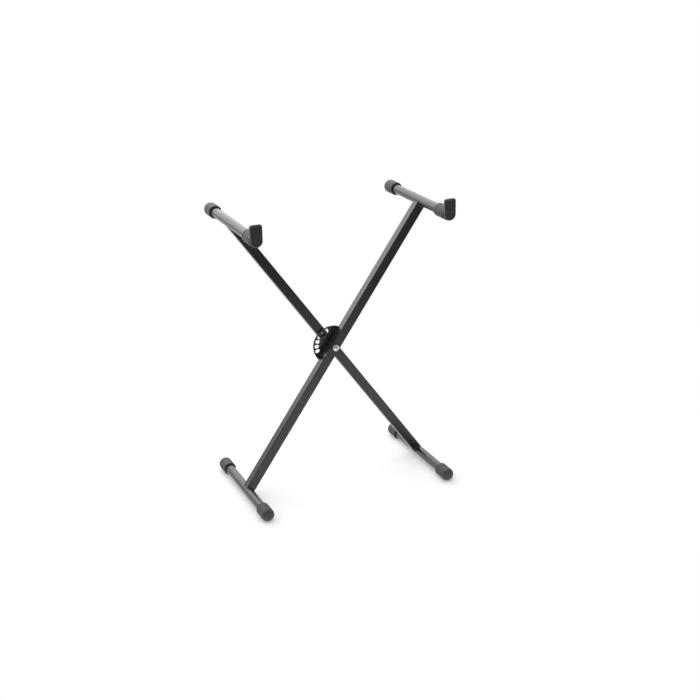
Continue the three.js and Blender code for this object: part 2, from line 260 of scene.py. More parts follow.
class Rows:
    """Closed rows of points round Y, at the same angles in each, and the tone of every point."""

    def __init__(self, turn):
        self.turn = turn
        self.points = []
        self.tone = []

    def add(self, radii, height, tone=1.0):
        self.points.append(rings(radii, height, self.turn))
        self.tone.append(np.broadcast_to(tone, self.turn.shape))

    def patch(self, place, rows_close=False):
        """The rows at their place, with quads between neighbours."""
        return [grid(np.stack(self.points) + place, rows_close)]


# From surfaces to pieces


def make_piece(name, patches, body, slot, stands_for=(), tone=None):
    """One closed mesh from its patches: joined where their points meet, and turned to face outwards."""
    mesh = bpy.data.meshes.new(name)
    first = np.cumsum([0] + [len(points) for points, _ in patches])
    faces = []
    for (_, part), start in zip(patches, first):
        faces.extend((part + start).tolist())
    mesh.from_pydata(np.concatenate([points for points, _ in patches]).tolist(), [], faces)
    if tone is not None:
        mesh.attributes.new(TONE, "FLOAT", "POINT").data.foreach_set("value", tone.ravel())
    shell = bmesh.new()
    shell.from_mesh(mesh)
    bmesh.ops.remove_doubles(shell, verts=shell.verts, dist=MERGE)
    bmesh.ops.dissolve_degenerate(shell, edges=shell.edges, dist=MERGE / 2)
    bmesh.ops.recalc_face_normals(shell, faces=shell.faces)
    shell.to_mesh(mesh)
    shell.free()
    mesh.shade_smooth()
    mesh.set_sharp_from_angle(angle=SHARP_EDGE)
    mesh.materials.append(finish_for(slot))
    piece = bpy.data.objects.new(name, mesh)
    bpy.context.scene.collection.objects.link(piece)
    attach(piece, body)
    if stands_for:
        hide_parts(*stands_for)
    return piece


# Sizes, colours and studio


class StandSizes(bpy.types.PropertyGroup):
    """Sizes of what the frame's solids leave plain."""

    tube_wall: bpy.props.FloatProperty(
        name="Tube wall", description="Wall of the arms and bars", default=1.5 * MM, unit="LENGTH"
    )
    tube_corner: bpy.props.FloatProperty(
        name="Tube corner", description="Outside corner of the square tube", default=2 * MM, unit="LENGTH"
    )
    saddle: bpy.props.FloatProperty(
        name="Saddle", description="How far an arm reaches round its bar", default=3 * MM, unit="LENGTH"
    )
    bead: bpy.props.FloatProperty(
        name="Weld bead", description="Half the width of a weld bead", default=2 * MM, unit="LENGTH"
    )
    ribs: bpy.props.IntProperty(
        name="Ribs", description="Ribs round a cap", default=28, min=8, max=64
    )
    ring_pitch: bpy.props.FloatProperty(
        name="Ring pitch", description="From ring to ring along a cap", default=4 * MM, unit="LENGTH"
    )
    rib_depth: bpy.props.FloatProperty(
        name="Rib depth", description="Depth of the grooves in a cap", default=0.9 * MM, unit="LENGTH"
    )
    # pales the rib tops: partly wear and partly a painted highlight
    rib_wear_and_highlight: bpy.props.FloatProperty(
        name="Rib wear", description="How pale the tops of the ribs are rubbed", default=0.6, subtype="FACTOR"
    )
    groove_share: bpy.props.FloatProperty(
        name="Groove width", description="Half a groove, as a share of its pitch", default=0.38
    )
    lip_rim: bpy.props.FloatProperty(
        name="Lip rim", description="Width of the raised rim round a lip", default=4 * MM, unit="LENGTH"
    )
    lip_dish: bpy.props.FloatProperty(
        name="Lip dish", description="Depth of the lip's face inside its rim", default=0.5 * MM, unit="LENGTH"
    )
    plate_edge: bpy.props.FloatProperty(
        name="Plate edge", description="Rounding of the punched edges", default=0.35 * MM, unit="LENGTH"
    )
    thread_pitch: bpy.props.FloatProperty(
        name="Thread pitch", description="Pitch of the bolt's thread", default=1.25 * MM, unit="LENGTH"
    )
    knob_flutes: bpy.props.IntProperty(
        name="Knob flutes", description="Finger flutes round the knob", default=12, min=4, max=32
    )


class StandFinishes(bpy.types.PropertyGroup):
    """Colours and roughness of the finishes."""

    paint: bpy.props.FloatVectorProperty(
        name="Paint", description="Powder coat", subtype="COLOR", default=(0.022, 0.022, 0.023)
    )
    paint_roughness: bpy.props.FloatProperty(
        name="Paint roughness", description="Satin powder coat", default=0.24, subtype="FACTOR"
    )
    rubber: bpy.props.FloatVectorProperty(
        name="Rubber", description="Caps and stops", subtype="COLOR", default=(0.045, 0.045, 0.046)
    )
    rubber_roughness: bpy.props.FloatProperty(
        name="Rubber roughness", description="Matt moulded rubber", default=0.3, subtype="FACTOR"
    )
    zinc: bpy.props.FloatVectorProperty(
        name="Zinc", description="Bright zinc plate", subtype="COLOR", default=(0.74, 0.75, 0.76)
    )
    plastic: bpy.props.FloatVectorProperty(
        name="Plastic", description="Knob and black washers", subtype="COLOR", default=(0.021, 0.021, 0.021)
    )
    nylon: bpy.props.FloatVectorProperty(
        name="Natural nylon", description="Ring inside the lock nut", subtype="COLOR",
        default=(0.75, 0.75, 0.71),
    )


class StudioSettings(bpy.types.PropertyGroup):
    """The camera of the picture and the light round the stand."""

    azimuth: bpy.props.FloatProperty(
        name="Azimuth", description="Turn of the camera about Z", subtype="ANGLE",
        default=math.radians(-23.564),
    )
    elevation: bpy.props.FloatProperty(
        name="Elevation", description="Camera above the horizon", subtype="ANGLE",
        default=math.radians(20.928),
    )
    roll: bpy.props.FloatProperty(
        name="Roll", description="Turn about the line of sight", subtype="ANGLE",
        default=math.radians(-1.298),
    )
    distance: bpy.props.FloatProperty(
        name="Distance", description="Camera to its target", unit="LENGTH", default=3.357
    )
    target: bpy.props.FloatVectorProperty(
        name="Target", description="Point in the middle of the picture", subtype="XYZ",
        default=(0.05275, 0, 0.35541),
    )
    lens: bpy.props.FloatProperty(
        name="Lens", description="Focal length in millimetres", default=65.016
    )
    floor: bpy.props.FloatVectorProperty(
        name="Floor", description="Colour of the floor", subtype="COLOR", default=(0.8, 0.8, 0.8)
    )
    floor_lift: bpy.props.FloatProperty(
        name="Floor lift", description="White added to the floor that the camera sees", default=0.25
    )
    surround: bpy.props.FloatProperty(
        name="Surround", description="Level of the white walls round the stand", default=0.9
    )
    front_wall: bpy.props.FloatProperty(
        name="Front wall", description="Level of the wall in front of the stand", default=0.38
    )
    front_floor: bpy.props.FloatProperty(
        name="Front floor", description="Level of the floor far in front of the stand", default=0.12
    )
    top_level: bpy.props.FloatProperty(
        name="Top light", description="Level of the soft box above the stand", default=1.0
    )
    back_level: bpy.props.FloatProperty(
        name="Back light", description="Level of the soft box behind the stand", default=1.5
    )


def sizes():
    return bpy.context.scene.stand_sizes


def finishes():
    return bpy.context.scene.stand_finishes


def studio():
    return bpy.context.scene.stand_studio


# Finishes


def bare_tree(owner):
    """The node tree of a material or a world, emptied."""
    owner.use_nodes = True
    owner.node_tree.nodes.clear()
    return owner.node_tree


def show(tree, output, surface):
    """Ends a tree in its output node, fed by a surface."""
    tree.links.new(surface, tree.nodes.new(output).inputs["Surface"])


def add_node(tree, kind, values=(), **settings):
    """A node with its settings, and its sockets set to a value or linked to another node's socket."""
    node = tree.nodes.new(kind)
    for name, setting in settings.items():
        setattr(node, name, setting)
    for socket, value in dict(values).items():
        if isinstance(value, bpy.types.NodeSocket):
            tree.links.new(value, node.inputs[socket])
        else:
            node.inputs[socket].default_value = value
    return node


def spread(tree, value, low, high, start, end, way="LINEAR"):
    """Takes a value from start..end to low..high, and keeps it there."""
    values = {"Value": value, "From Min": start, "From Max": end, "To Min": low, "To Max": high}
    return add_node(tree, "ShaderNodeMapRange", values, interpolation_type=way).outputs["Result"]


def shade(tree, share, first, second):
    """A colour between two, by a share. Each is a colour or another node's socket."""
    factor_socket, first_socket, second_socket, colour_output = 0, 6, 7, 2
    pair = [c if isinstance(c, bpy.types.NodeSocket) else (*c, 1) for c in (first, second)]
    values = {factor_socket: share, first_socket: pair[0], second_socket: pair[1]}
    return add_node(tree, "ShaderNodeMix", values, data_type="RGBA").outputs[colour_output]


def calculate(tree, operation, first, second):
    return add_node(tree, "ShaderNodeMath", {0: first, 1: second}, operation=operation).outputs[0]


def tint(colour, factor):
    return tuple(min(1.0, channel * factor) for channel in colour)


class Finish:
    """A material with its principled shader, whose patterns lie on the object's own coordinates."""

    def __init__(self, name, ior):
        self.material = bpy.data.materials.new(name)
        self.tree = bare_tree(self.material)
        self.place = self.tree.nodes.new("ShaderNodeTexCoord").outputs["Object"]
        self.shader = self.tree.nodes.new("ShaderNodeBsdfPrincipled")
        self.shader.inputs["IOR"].default_value = ior
        show(self.tree, "ShaderNodeOutputMaterial", self.shader.outputs["BSDF"])

    def noise(self, cells, detail=3.0, roughness=0.5):
        """Noise of so many cells to the metre. Most of it is between 0.3 and 0.7."""
        values = {"Vector": self.place, "Scale": cells, "Detail": detail, "Roughness": roughness}
        return add_node(self.tree, "ShaderNodeTexNoise", values).outputs["Fac"]

    def spread(self, value, low, high, start=0.3, end=0.7):
        return spread(self.tree, value, low, high, start, end)

    def shade(self, share, first, second):
        return shade(self.tree, share, first, second)

    def paint(self, colour, gloss):
        """Links a colour and a roughness to the shader."""
        self.tree.links.new(colour, self.shader.inputs["Base Color"])
        self.tree.links.new(gloss, self.shader.inputs["Roughness"])

    def relief(self, height, strength, depth):
        """Bumps the surface by a height from 0 to 1 that stands for a real depth."""
        values = {"Height": height, "Strength": strength, "Distance": depth}
        bump = add_node(self.tree, "ShaderNodeBump", values)
        self.tree.links.new(bump.outputs["Normal"], self.shader.inputs["Normal"])


def powder_coat():
    """Satin black: a slight orange peel, slow changes of gloss, and a little dust."""
    own = finishes()
    coat = Finish("satin_powder_coat", ior=1.6)
    cloud = coat.noise(cells=22)
    specks = coat.noise(cells=1500, detail=2, roughness=0.7)
    dust = coat.spread(specks, 0, 1, start=0.66, end=0.8)
    body = coat.shade(cloud, tint(own.paint, 0.8), tint(own.paint, 1.2))
    speckled = coat.shade(dust, body, tint(own.paint, 2.5))
    gloss = coat.spread(cloud, own.paint_roughness - 0.03, own.paint_roughness + 0.04)
    coat.paint(speckled, gloss)
    coat.relief(coat.noise(cells=450, detail=2), strength=0.1, depth=0.03 * MM)
    return coat.material


def moulded_rubber():
    """Moulded black rubber: a fine grain, cloudy gloss, painted shade in the grooves, and edges and rib
    tops made pale, partly by wear and partly as a painted highlight.
    """
    own = finishes()
    rubber = Finish("moulded_rubber", ior=1.52)
    cloud = rubber.noise(cells=70, detail=4, roughness=0.6)
    tone = add_node(rubber.tree, "ShaderNodeAttribute", attribute_name=TONE).outputs["Fac"]
    out_of_groove = rubber.spread(tone, 0, 1, start=0, end=1)
    worn_and_highlit = rubber.spread(tone, 0, 1, start=1, end=2)
    plain = rubber.shade(rubber.spread(cloud, 0, 1), tint(own.rubber, 1.0), tint(own.rubber, 1.35))
    # painted shade: deep in the grooves the rubber is darkened to under a tenth of its colour
    ribbed = rubber.shade(out_of_groove, tint(own.rubber, 0.08), plain)
    # pale edges and rib tops, up to 2.4 times the rubber, are partly wear and partly a painted highlight
    body = rubber.shade(worn_and_highlit, ribbed, tint(own.rubber, 2.4))
    gloss = rubber.spread(cloud, own.rubber_roughness - 0.05, own.rubber_roughness + 0.07)
    rubber.paint(body, gloss)
    grain = rubber.noise(cells=1300, detail=4, roughness=0.6)
    rubber.relief(grain, strength=0.1, depth=0.06 * MM)
    return rubber.material


def bright_zinc():
    """Bright zinc plate: fine marks from the die, slightly cloudy."""
    own = finishes()
    zinc = Finish("bright_zinc", ior=1.5)
    zinc.shader.inputs["Metallic"].default_value = 1
    cloud = zinc.noise(cells=300)
    body = zinc.shade(cloud, tint(own.zinc, 0.88), tint(own.zinc, 1.1))
    zinc.paint(body, zinc.spread(cloud, 0.2, 0.32))
    zinc.relief(zinc.noise(cells=4000, detail=2), strength=0.12, depth=0.02 * MM)
    return zinc.material


def eroded_plastic(name, colour, roughness, cells):
    """Moulded plastic with a spark-eroded grain of so many cells to the metre."""
    plastic = Finish(name, ior=1.5)
    cloud = plastic.noise(cells=90)
    body = plastic.shade(cloud, tint(colour, 0.85), tint(colour, 1.15))
    plastic.paint(body, plastic.spread(cloud, roughness - 0.05, roughness + 0.06))
    grain = plastic.noise(cells, detail=3, roughness=0.6)
    plastic.relief(grain, strength=0.25, depth=0.04 * MM)
    return plastic.material


def black_plastic():
    return eroded_plastic("black_plastic", finishes().plastic, roughness=0.42, cells=1800)


def black_nylon():
    return eroded_plastic("black_nylon", finishes().plastic, roughness=0.5, cells=2600)


def natural_nylon():
    return eroded_plastic("natural_nylon", finishes().nylon, roughness=0.45, cells=2600)


FINISHES = {
    "black_paint": powder_coat,
    "black_rubber": moulded_rubber,
    "zinc": bright_zinc,
    "black_plastic": black_plastic,
    "black_nylon": black_nylon,
    "white_nylon": natural_nylon,
}
MADE = {}


def finish_for(slot):
    """The slot's material, made at its first use and then kept."""
    if slot not in MADE:
        MADE[slot] = FINISHES[slot]()
    return MADE[slot]


# Tubes

BARS = {
    "left_foot_bar": "front_frame",
    "right_top_bar": "front_frame",
    "right_foot_bar": "rear_frame",
    "left_top_bar": "rear_frame",
}


def square_section(half, corner):
    """A square with round corners as a loop of (x, y), with many points along its front and back
    sides, and the number of points on each of these two sides."""
    flat = half - corner
    support = 1 * MM  # from each bend, so that the flat sides are shaded flat
    across = np.linspace(-flat, flat, 27)
    front = np.stack([across, np.full_like(across, -half)], axis=1)
    sweep = np.linspace(-math.pi / 2, 0, 9)[1:]
    bend = np.stack([flat + corner * np.cos(sweep), -flat + corner * np.sin(sweep)], axis=1)
    bend = np.concatenate([bend, [(half, support - flat)]])
    right_half = np.concatenate([front, bend, bend[::-1] * [1, -1]])
    return np.concatenate([right_half, -right_half]), len(across)


def notch_end(across, length):
    """Where a tube ends against a round bar: length - sqrt(radius^2 - across^2), but no further
    up than its reach round the bar allows."""
    radius = BAR_RADIUS + GAP
    beside = np.sqrt(np.maximum(radius**2 - across**2, 0))
    return length - np.maximum(beside, BAR_RADIUS - sizes().saddle)


def arm_tube(arm, holes):
    """A square tube between its notched ends. holes are (radius, height along the arm, its walls).
    The flat of each wall with holes is one face, and the rest is carried from end to end."""
    own = sizes()
    inner_corner = own.tube_corner - own.tube_wall * 0.8
    skins = []
    for inset, corner in ((0, own.tube_corner), (own.tube_wall, inner_corner)):
        section, flat_count = square_section(arm.half - inset, corner)
        across, deep = section.T
        skins.append([
            np.stack([across, deep + arm.middle, end * notch_end(across, length)], axis=1)
            for end, length in ((-1, arm.lower), (1, arm.upper))
        ])
    count = len(section)
    front_side = np.arange(1, flat_count - 1)
    back_side = front_side + count // 2
    patches = []
    for low, high in skins:
        for start in (front_side[-1], back_side[-1]):
            strip = np.arange(start, start + count // 2 - len(front_side) + 2) % count
            patches.append(grid(np.stack([low[strip], high[strip]]), columns_close=False))
        for side, wall in ((front_side, FRONT), (back_side, BACK)):
            edge = np.concatenate([low[side], high[side][::-1]])
            wall_y = edge[0, 1]
            drilled = [circle(radius, wall_y, height) for radius, height, walls in holes if wall in walls]
            patches.append(flat_face([edge, *drilled]))
    for end in (0, 1):
        patches.append(grid(np.stack([skins[0][end], skins[1][end]])))
    for radius, height, walls in holes:
        for wall in walls:
            outer = circle(radius, arm.middle + wall * arm.half, height)
            inner = circle(radius, arm.middle + wall * (arm.half - own.tube_wall), height)
            patches.append(grid(np.stack([outer, inner])))
    return [(arm.place(points), faces) for points, faces in patches]


def bar_tube(node):
    """A round tube about its own axis along Y, its square profile rounded and carried round."""
    low, high = corners(node)
    inner = BAR_RADIUS - sizes().tube_wall
    support = 2 * MM  # from each end, so that the wall is shaded straight
    start, end = low[1], high[1]
    near_start, near_end = start + support, end - support
    profile = [
        (inner, start), (BAR_RADIUS, start), (BAR_RADIUS, near_start), (BAR_RADIUS, near_end),
        (BAR_RADIUS, end), (inner, end), (inner, near_end), (inner, near_start),
    ]
    radii = np.array([0.4, 0.4, 0, 0, 0.4, 0.4, 0, 0]) * MM
    return turned(node, soften(profile, radii), 128)


def weld_seam(arm, length, end):
    """A bead round the joint of an arm and its bar: the arm's outline, drawn in a little and laid
    on the bar as z = length - sqrt(radius^2 - x^2), with a section that swells at every ripple."""
    bead = sizes().bead
    half = arm.half
    drawn_in = half - 0.95 * bead
    beside_bar = 0.66 * BAR_RADIUS  # where the bead runs down no further
    flatter = 0.6  # turns the section towards the bar at the arm's sides
    ripples = 30
    outline = soften([(-drawn_in, -half), (drawn_in, -half), (drawn_in, half), (-drawn_in, half)], bead, 8)
    outline = even_line(outline, 260)
    across, deep = outline.T
    resting = np.sqrt(np.maximum(BAR_RADIUS**2 - across**2, beside_bar**2))
    path = np.stack([across, deep + arm.middle, end * (length - resting)], axis=1)
    tangent = way_round(path)
    outward = np.stack([across * flatter, deep, np.zeros_like(deep)], axis=1)
    outward = unit(outward - (outward * tangent).sum(axis=1, keepdims=True) * tangent)
    rise = np.cross(tangent, outward)
    ripple = np.abs(np.sin(np.arange(len(path)) / len(path) * math.pi * ripples))
    points = carried(path, outward, rise, bead * (0.8 + 0.2 * ripple), 14)
    seam, faces = grid(points, rows_close=True)
    return [(arm.place(seam), faces)]


# Rubber

CAP_BORE = BAR_RADIUS + GAP
CAP_FLOOR = 4.7 * MM  # rubber past the end of the bar
CAPS = (
    ("left_foot", "front"),
    ("left_foot", "back"),
    ("right_foot", "front"),
    ("right_foot", "back"),
    ("left_top", "back"),
    ("right_top", "back"),
)
RIB_FADE = 1 * MM  # over which the grooves run out


def rib_columns():
    """Angles round a cap, close together in each groove between two ribs."""
    own = sizes()
    return grooved_steps(own.ribs, own.groove_share) / own.ribs * FULL_TURN


def rib_relief(turn, along, start, end):
    """How deep the grooves are at an angle and a place along a cap, and its tone: the deeper of the
    groove between two ribs and the groove between two rings, faded out at both ends of the pattern."""
    own = sizes()
    rib_pitch = turn / FULL_TURN * own.ribs
    ring_pitch = (along - start) / own.ring_pitch
    between_ribs = groove(rib_pitch - np.round(rib_pitch), own.groove_share)
    between_rings = groove(ring_pitch - np.round(ring_pitch), own.groove_share)
    fade = smooth_step(along, start - RIB_FADE, start) * (1 - smooth_step(along, end, end + RIB_FADE))
    depth_share = fade * np.maximum(between_ribs, between_rings)
    # the tone darkens the grooves as painted shade and pales the rib tops by wear and a painted highlight
    return own.rib_depth * depth_share, (1 - depth_share) * (1 + own.rib_wear_and_highlight * fade)


def ring_rows(start, end):
    """Places along a cap, close together in each groove between two rings."""
    own = sizes()
    count = int(round((end - start) / own.ring_pitch))
    rows = start + grooved_steps(count + 1, own.groove_share) * own.ring_pitch
    return rows[rows < end + RIB_FADE]


def cap_moulding(node, bar, outward, on_floor):
    """A ribbed cap: a blind hole, a round mouth, a ribbed wall and a full, round end, on which
    (radius / R)^n + (depth / d)^n = 1. The ribs are taken off the radius, and run out on the rounding."""
    low, high = corners(node)
    length = high[1] - low[1]
    radius = (high[0] - low[0]) / 2
    hole_end = length - CAP_FLOOR
    mouth_depth = 2 * MM
    ribs_start, ribs_end = 4 * MM, length - 6 * MM
    end_depth = 11 * MM
    fullness = 2.2
    inside = soften(
        [(0, hole_end), (CAP_BORE, hole_end), (CAP_BORE, 0), (radius, 0), (radius, CAP_BORE)],
        np.array([0, 0.6, 0.5, 2.3, 0]) * MM,
    )[:-CORNER_POINTS]
    rows = ring_rows(ribs_start, length - end_depth)
    wall = np.stack([np.full_like(rows, radius), rows], axis=1)
    bend = quarter_turn(29)
    end_radius = radius * np.cos(bend).clip(0) ** (2 / fullness)
    end_along = length - end_depth * (1 - np.sin(bend) ** (2 / fullness))
    profile = np.concatenate([inside, wall, np.stack([end_radius, end_along], axis=1)])
    turn = rib_columns()[None, :]
    out, along = profile[:, :1], profile[:, 1:]
    on_wall = smooth_step(out, 0.86 * radius, 0.95 * radius) * (along > mouth_depth)
    relief, tone = rib_relief(turn, along, ribs_start, ribs_end)
    points = rings(out - relief * on_wall, along, turn)
    mouth_at = abs(low[1] if outward == BACK else high[1])
    points[..., 1] = outward * (points[..., 1] + mouth_at)
    points += axis_point(bar)
    if on_floor:
        points[..., 2] = np.maximum(points[..., 2], low[2])
    return [grid(points)], 1 + (tone - 1) * on_wall


def lip_radius(turn, half, top, corner):
    """How far the lip's edge is from the bar's axis in each direction: a half circle below, straight
    sides of z = half |tan turn| above it, then round corners, solved as b + sqrt(b^2 - c), and a flat top."""
    cosine = np.cos(turn)
    sine = np.sin(turn)
    with np.errstate(divide="ignore", invalid="ignore"):
        to_side = half / np.abs(cosine)
        to_top = top / sine
    corner_x = (half - corner) * np.sign(cosine)
    corner_z = top - corner
    b = corner_x * cosine + corner_z * sine
    c = corner_x**2 + corner_z**2 - corner**2
    to_corner = b + np.sqrt(np.maximum(b**2 - c, 0))
    on_side = to_side * sine <= corner_z
    on_top = np.abs(to_top * cosine) <= half - corner
    above = np.where(on_side, to_side, np.where(on_top, to_top, to_corner))
    return np.where(sine <= 0, half, above)


def add_lip(rows, top, thickness):
    """The rows of a lip: a shallow dish, its rim, and a full front edge and a small back edge, both
    quarter circles and pale from wear and a painted highlight. Returns the radii of its last row."""
    own = sizes()
    half = 15.9 * MM
    corner = 6.5 * MM
    dish_side = 0.7 * MM
    front_edge = 2.2 * MM
    back_edge = 0.8 * MM

    def lip(inset):
        return lip_radius(rows.turn, half - inset, top - inset, corner - inset)

    for share in (0, 0.2, 0.4, 0.6, 0.8, 0.93, 1):
        rows.add(lip(own.lip_rim) * share, own.lip_dish)
    for share in (0.25, 0.5, 0.75, 1):
        rows.add(lip(own.lip_rim - share * dish_side), own.lip_dish * (1 - smooth_step(share, 0, 1)))
    # the tone of 1 to 2 on these two edges is pale wear and a painted highlight
    for bend in quarter_turn(7):
        depth = front_edge * (1 - math.cos(bend))
        rows.add(lip(front_edge * (1 - math.sin(bend))), depth, 1 + math.sin(bend))
    for bend in quarter_turn(7):
        depth = thickness - back_edge * (1 - math.sin(bend))
        rows.add(lip(back_edge * (1 - math.cos(bend))), depth, 1 + math.cos(bend))
    return lip(back_edge)


def add_sleeve(rows, lip_back, thickness, length):
    """The rows of the sleeve behind a lip: a neck that is full above, where it carries the lip, a round
    shoulder, the ribbed wall, a round mouth and the blind hole."""
    radius = 17.2 * MM
    filled = smooth_step(np.sin(rows.turn), 0.25, 0.75)
    neck = (CAP_BORE + 1.2 * MM) * (1 - filled) + (radius - 0.4 * MM) * filled
    for share in (0.35, 0.7, 1):
        rows.add(lip_back * (1 - share) + neck * share, thickness)
    start = thickness + 2.4 * MM
    rows.add(neck, (thickness + start) / 2)
    rows.add(neck, start)
    shoulder = 0.7 * MM
    for bend in quarter_turn(5):
        radii = np.maximum(neck, radius - shoulder * (1 - math.sin(bend)))
        rows.add(radii, start + shoulder * (1 - math.cos(bend)))
    ribs_start = start + 3 * MM
    ribs_end = length - 4 * MM
    for along in ring_rows(ribs_start, ribs_end):
        relief, tone = rib_relief(rows.turn, along, ribs_start, ribs_end - RIB_FADE)
        rows.add(radius - relief, along, tone)
    mouth = soften(
        [(radius, length / 2), (radius, length), (CAP_BORE, length), (CAP_BORE, CAP_FLOOR), (0, CAP_FLOOR)],
        np.array([0, 1.8, 0.5, 0.6, 0]) * MM,
    )[CORNER_POINTS:]
    for mouth_radius, depth in mouth:
        rows.add(mouth_radius, depth)


def stop_moulding(node, bar):
    """A stop: a lip and the ribbed sleeve behind it. Every row is a closed line round the bar's axis,
    and the rows run from the middle of the lip's face to the bottom of the blind hole."""
    low, high = corners(node)
    thickness = 6.5 * MM
    rows = Rows(rib_columns())
    lip_back = add_lip(rows, high[2] - centre(bar)[2], thickness)
    add_sleeve(rows, lip_back, thickness, high[1] - low[1])
    return rows.patch(axis_point(bar) + [0, low[1], 0]), np.stack(rows.tone)


# Locking plate

PLATE_RADIUS = 52.5 * MM
SLOTS = 6
FIRST_SLOT = 53.3  # degrees from the front arm's line
SLOT_STEP = 17.5  # degrees from slot to slot
SLOT_STRETCH = 1.45 * MM  # from the middle of a slot to the middle of each round end


def punched_plate(outline, holes, front, back, edge):
    """A plate with holes. Its two faces are flat, and every edge is carried round its loop with a
    quarter circle in front and behind, set in by edge (1 - sin t) and down by edge (1 - cos t)."""
    margin = 0.3 * MM
    bend = quarter_turn(5)
    inset = np.concatenate([[edge + margin], edge * (1 - np.sin(bend))])
    inset = np.concatenate([inset, inset[::-1]])
    down = np.concatenate([[0], edge * (1 - np.cos(bend))])
    height = np.concatenate([front + down, back - down[::-1]])
    patches = []
    front_and_back = []
    for loop, sign in [(outline, 1), *[(hole, -1) for hole in holes]]:
        tangent = way_round(loop)
        outward = np.stack([tangent[:, 1], -tangent[:, 0]], axis=1) * sign
        flat = loop[None, :, :] - inset[:, None, None] * outward[None, :, :]
        tall = np.broadcast_to(height[:, None], flat.shape[:2])
        rows = np.stack([flat[..., 0], tall, flat[..., 1]], axis=-1)
        patches.append(grid(rows))
        front_and_back.append((rows[0], rows[-1]))
    for loops in zip(*front_and_back):
        patches.append(flat_face(loops))
    return patches


def plate_loops(arm):
    """The plate's half-disc outline, its bolt hole and its slots, as loops of (x, z). The outline is
    an arc up to near the straight edge, a round corner at each end, and the straight edge."""
    straight = arm.half - 1 * MM
    dip = math.asin(straight / PLATE_RADIUS)
    sweep = np.linspace(math.pi / 2 - dip, 1.5 * math.pi + dip, 181)
    outline = np.stack([PLATE_RADIUS * np.cos(sweep), PLATE_RADIUS * np.sin(sweep)], axis=1)
    corner = 1.5 * MM
    near_end = np.abs(outline[:, 1]) > PLATE_RADIUS * math.cos(dip) - corner
    outline = outline[~(near_end & (outline[:, 0] > straight - corner))]
    tip = (straight, math.sqrt(PLATE_RADIUS**2 - straight**2))
    steps = 6
    upper = soften([outline[0], tip, (straight, 0)], [0, corner, 0], steps)
    lower = (upper * [1, -1])[::-1]
    upper_corner = upper[steps + 1:1 - steps]
    lower_corner = lower[steps - 1:-steps]
    outline = np.concatenate([outline, lower_corner, upper_corner])
    keep = np.linalg.norm(outline - np.roll(outline, 1, axis=0), axis=1) > 0.02 * MM
    bolt_hole = circle(BOLT_HOLE, 0, 0)[:, [0, 2]]
    return outline[keep], [bolt_hole, *[slot_loop(number) for number in range(SLOTS)]]


def slot_loop(number):
    """A slot with half-round ends, its long way towards the pivot, at its own opening angle."""
    bend = np.linspace(-math.pi / 2, math.pi / 2, 17)
    end_x, end_z = SLOT_STRETCH + PIN_HOLE * np.cos(bend), PIN_HOLE * np.sin(bend)
    end = np.stack([PIN_ALONG + end_x, end_z], axis=1)
    start = np.stack([PIN_ALONG - end_x, -end_z], axis=1)
    angle = math.pi / 2 + math.radians(FIRST_SLOT + SLOT_STEP * number)
    cosine, sine = math.cos(angle), math.sin(angle)
    return np.concatenate([end, start]) @ np.array([[cosine, sine], [-sine, cosine]])


def plate_stitches(arm):
    """Short beads that hold the plate to the arm, three along its straight edge and two beside its
    round ends. Each is a section carried along a line, with a radius of b (1 - |2s - 1|^4) along it."""
    plate_front = corners("lock_plate")[0][1]
    edge_x, edge_y, edge_length = arm.half - 0.9 * MM, plate_front + 0.4 * MM, 16 * MM
    end_x, end_y, end_length = -arm.half, plate_front - 0.5 * MM, 11 * MM
    straight = [(edge_x, edge_y, z * MM, edge_length) for z in (-34, 0, 34)]
    round_ends = [(end_x, end_y, z * MM, end_length) for z in (-38, 38)]
    share = np.linspace(0, 1, 61)
    ripple = 1 - 0.16 * np.abs(np.sin(share * math.pi * 5))
    radius = 0.75 * sizes().bead * (1 - np.abs(2 * share - 1) ** 4) * ripple
    patches = []
    for x, y, z, length in straight + round_ends:
        path = np.array([x, y, z]) + (share[:, None] - 0.5) * [0, 0, length]
        side = np.broadcast_to([1.0, 0, 0], path.shape)
        rise = np.broadcast_to([0, 1.0, 0], path.shape)
        points, faces = grid(carried(path, side, rise, radius, 14))
        patches.append((arm.place(points), faces))
    return patches


# Bolt, nut and locking pin

PIVOT_RINGS = (
    ("head_washer", "front_frame", "black_nylon", BOLT_HOLE, 0.4 * MM),
    ("front_arm_sleeve", "front_frame", "zinc", BOLT_HOLE, 0.2 * MM),
    ("arm_spacer", "front_frame", "black_nylon", BOLT_HOLE, 0.3 * MM),
    ("back_washer", "front_frame", "zinc", BOLT_HOLE, 0.25 * MM),
    ("nut_insert", "front_frame", "white_nylon", THREAD_HOLE, 0.08 * MM),
    ("rear_arm_sleeve", "rear_frame", "zinc", BOLT_HOLE, 0.2 * MM),
)


def ring_piece(node, bore, edge):
    """A washer or a bush: a rectangle with round corners, carried round the node's own axis."""
    low, high = corners(node)
    radius = node_radius(node)
    section = [(bore, low[1]), (radius, low[1]), (radius, high[1]), (bore, high[1])]
    return turned(node, soften(section, edge), 96)


def hexagon(turn, across):
    """How far a hexagon's edge is from its middle in each direction: half its width across flats
    over the cosine of the angle from the nearest flat's middle."""
    side = math.pi / 3
    return across / 2 / np.cos((turn + side / 2) % side - side / 2)


def thread_depth(turn, along, first, last):
    """The depth of a thread: a wave of the height along the bolt less the turn round it, cut off flat
    at its roots, and faded in and out at the ends."""
    pitch = sizes().thread_pitch
    full_depth = 0.55 * pitch
    steepness = 1.15
    place = along / pitch - turn / FULL_TURN
    wave = 2 * np.abs(place - np.round(place))
    fade = smooth_step(along, first, first + pitch) * (1 - smooth_step(along, last - 1 * MM, last))
    return full_depth * np.clip(steepness * (1 - wave), 0, 1) * fade


